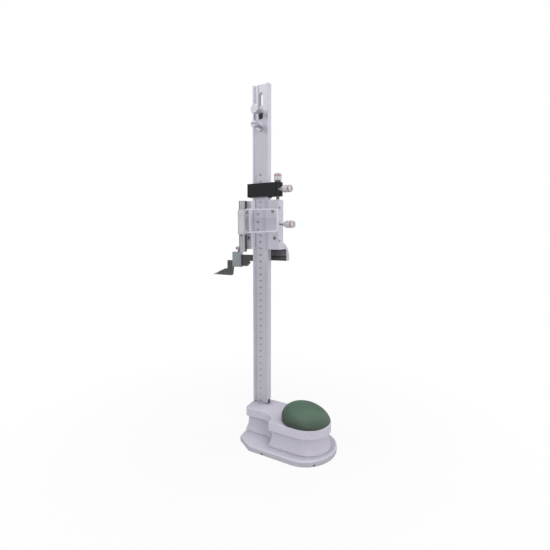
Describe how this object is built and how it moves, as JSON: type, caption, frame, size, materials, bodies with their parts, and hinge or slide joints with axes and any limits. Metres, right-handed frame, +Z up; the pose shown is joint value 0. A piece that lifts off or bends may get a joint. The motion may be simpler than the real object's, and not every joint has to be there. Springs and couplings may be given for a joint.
{
  "type": "height gauge",
  "caption": "Vernier height gauge: a flat beam on a waisted base with a domed hand rest, and a slider with fine adjustment, magnifier and scriber.",
  "frame": {"origin": "on the underside of the base, under the axis of the beam", "axes": "+Z up along the beam, +X towards the hand rest, -Y the front, where the scale is read"},
  "size_m": [0.2428, 0.0958, 0.5304],
  "materials": {
    "base_paint": "light grey hammered enamel on cast iron",
    "rest_green": "glossy dark green",
    "beam_steel": "satin ground",
    "scale_steel": "satin chrome with black graduations",
    "slider_steel": "satin chrome",
    "block_black": "black, satin",
    "knob_chrome": "bright, fluted",
    "ring_red": "red ring",
    "jaw_dark": "black oxide",
    "screw_steel": "bright",
    "bronzed_screws": "browned",
    "spacer_black": "black",
    "clear_plastic": "clear, moulded",
    "lens_clear": "clear lens",
    "clamp_grey": "blued grey",
    "carbide": "ground carbide"
  },
  "bodies": {
    "stand": {"base": "base_paint", "hand_rest": "rest_green", "hand_rest_screw": "screw_steel", "beam": "beam_steel", "beam_screws": "screw_steel"},
    "scale": {"main_scale": "scale_steel", "scale_hanger": "scale_steel", "scale_nuts": "screw_steel"},
    "scale_thumb_screw": {"scale_thumb_screw": "beam_steel"},
    "scale_lock_screw": {"scale_lock_screw": "beam_steel"},
    "carriage": {"clamp_block": "block_black", "clamp_gib": "jaw_dark"},
    "clamp_screw": {"clamp_screw": "screw_steel", "clamp_knob": "knob_chrome", "clamp_knob_ring": "ring_red"},
    "fine_screw": {"fine_adjust_screw": "jaw_dark", "fine_screw_clip": "screw_steel", "fine_adjust_knob": "knob_chrome", "fine_knob_ring": "ring_red"},
    "slider": {"slider_body": "slider_steel", "slider_gib": "slider_steel", "gib_set_screws": "jaw_dark", "vernier_plate": "slider_steel", "front_plate": "slider_steel", "plate_screws": "bronzed_screws", "jaw": "jaw_dark", "jaw_screws": "jaw_dark", "magnifier_rail": "slider_steel", "rail_spacer": "spacer_black", "rail_screws": "bronzed_screws"},
    "lock_screw": {"lock_screw": "screw_steel", "lock_knob": "knob_chrome", "lock_knob_ring": "ring_red"},
    "magnifier": {"magnifier_holder": "clear_plastic", "magnifier_frame": "clear_plastic", "magnifier_lens": "lens_clear"},
    "scriber_clamp": {"scriber_clamp": "clamp_grey"},
    "scriber_screw": {"scriber_clamp_screw": "screw_steel", "scriber_clamp_knob": "knob_chrome", "scriber_knob_ring": "ring_red"},
    "scriber": {"scriber": "jaw_dark", "scriber_tip": "carbide"}
  },
  "joints": [
    {"name": "scale_zero_slide", "type": "slide", "parent": "stand", "child": "scale", "axis": [0, 0, 1], "range_m": [-0.0025, 0.0025]},
    {"name": "scale_thumb_screw_turn", "type": "hinge", "parent": "scale", "child": "scale_thumb_screw", "pos_m": [-0.00035, -0.006, 0.4917], "axis": [0, 1, 0], "range_deg": [-360, 0]},
    {"name": "scale_lock_screw_turn", "type": "hinge", "parent": "scale", "child": "scale_lock_screw", "pos_m": [-0.00035, -0.006, 0.47], "axis": [0, 1, 0], "range_deg": [-360, 0]},
    {"name": "carriage_slide", "type": "slide", "parent": "stand", "child": "carriage", "axis": [0, 0, 1], "range_m": [-0.2406, 0.0544]},
    {"name": "clamp_screw_turn", "type": "hinge", "parent": "carriage", "child": "clamp_screw", "pos_m": [0.0352, -0.0045, 0.3765], "axis": [-1, 0, 0], "range_deg": [-360, 0]},
    {"name": "fine_adjust_turn", "type": "hinge", "parent": "carriage", "child": "fine_screw", "pos_m": [0.0282, -0.0002, 0.389], "axis": [0, 0, -1], "range_deg": [-720.1, 1080.1]},
    {"name": "slider_fine", "type": "slide", "parent": "carriage", "child": "slider", "axis": [0, 0, 1], "range_m": [-0.002, 0.003]},
    {"name": "lock_screw_turn", "type": "hinge", "parent": "slider", "child": "lock_screw", "pos_m": [0.0393, -0.0027, 0.3253], "axis": [-1, 0, 0], "range_deg": [-360, 0]},
    {"name": "magnifier_slide", "type": "slide", "parent": "slider", "child": "magnifier", "axis": [0, 0, 1], "range_m": [-0.024, 0.012]},
    {"name": "scriber_clamp_slide", "type": "slide", "parent": "slider", "child": "scriber_clamp", "axis": [1, 0, 0], "range_m": [0, 0.02]},
    {"name": "scriber_screw_turn", "type": "hinge", "parent": "scriber_clamp", "child": "scriber_screw", "pos_m": [-0.05905, 0.02025, 0.286], "axis": [0, 0, -1], "range_deg": [-360, 0]},
    {"name": "scriber_slide", "type": "slide", "parent": "scriber_clamp", "child": "scriber", "axis": [1, 0, 0], "range_m": [-0.012, 0.004]}
  ],
  "couplings": [
    {"joint": "fine_adjust_turn", "follows": "slider_fine", "rad_per_m": 6283.2}
  ]
}
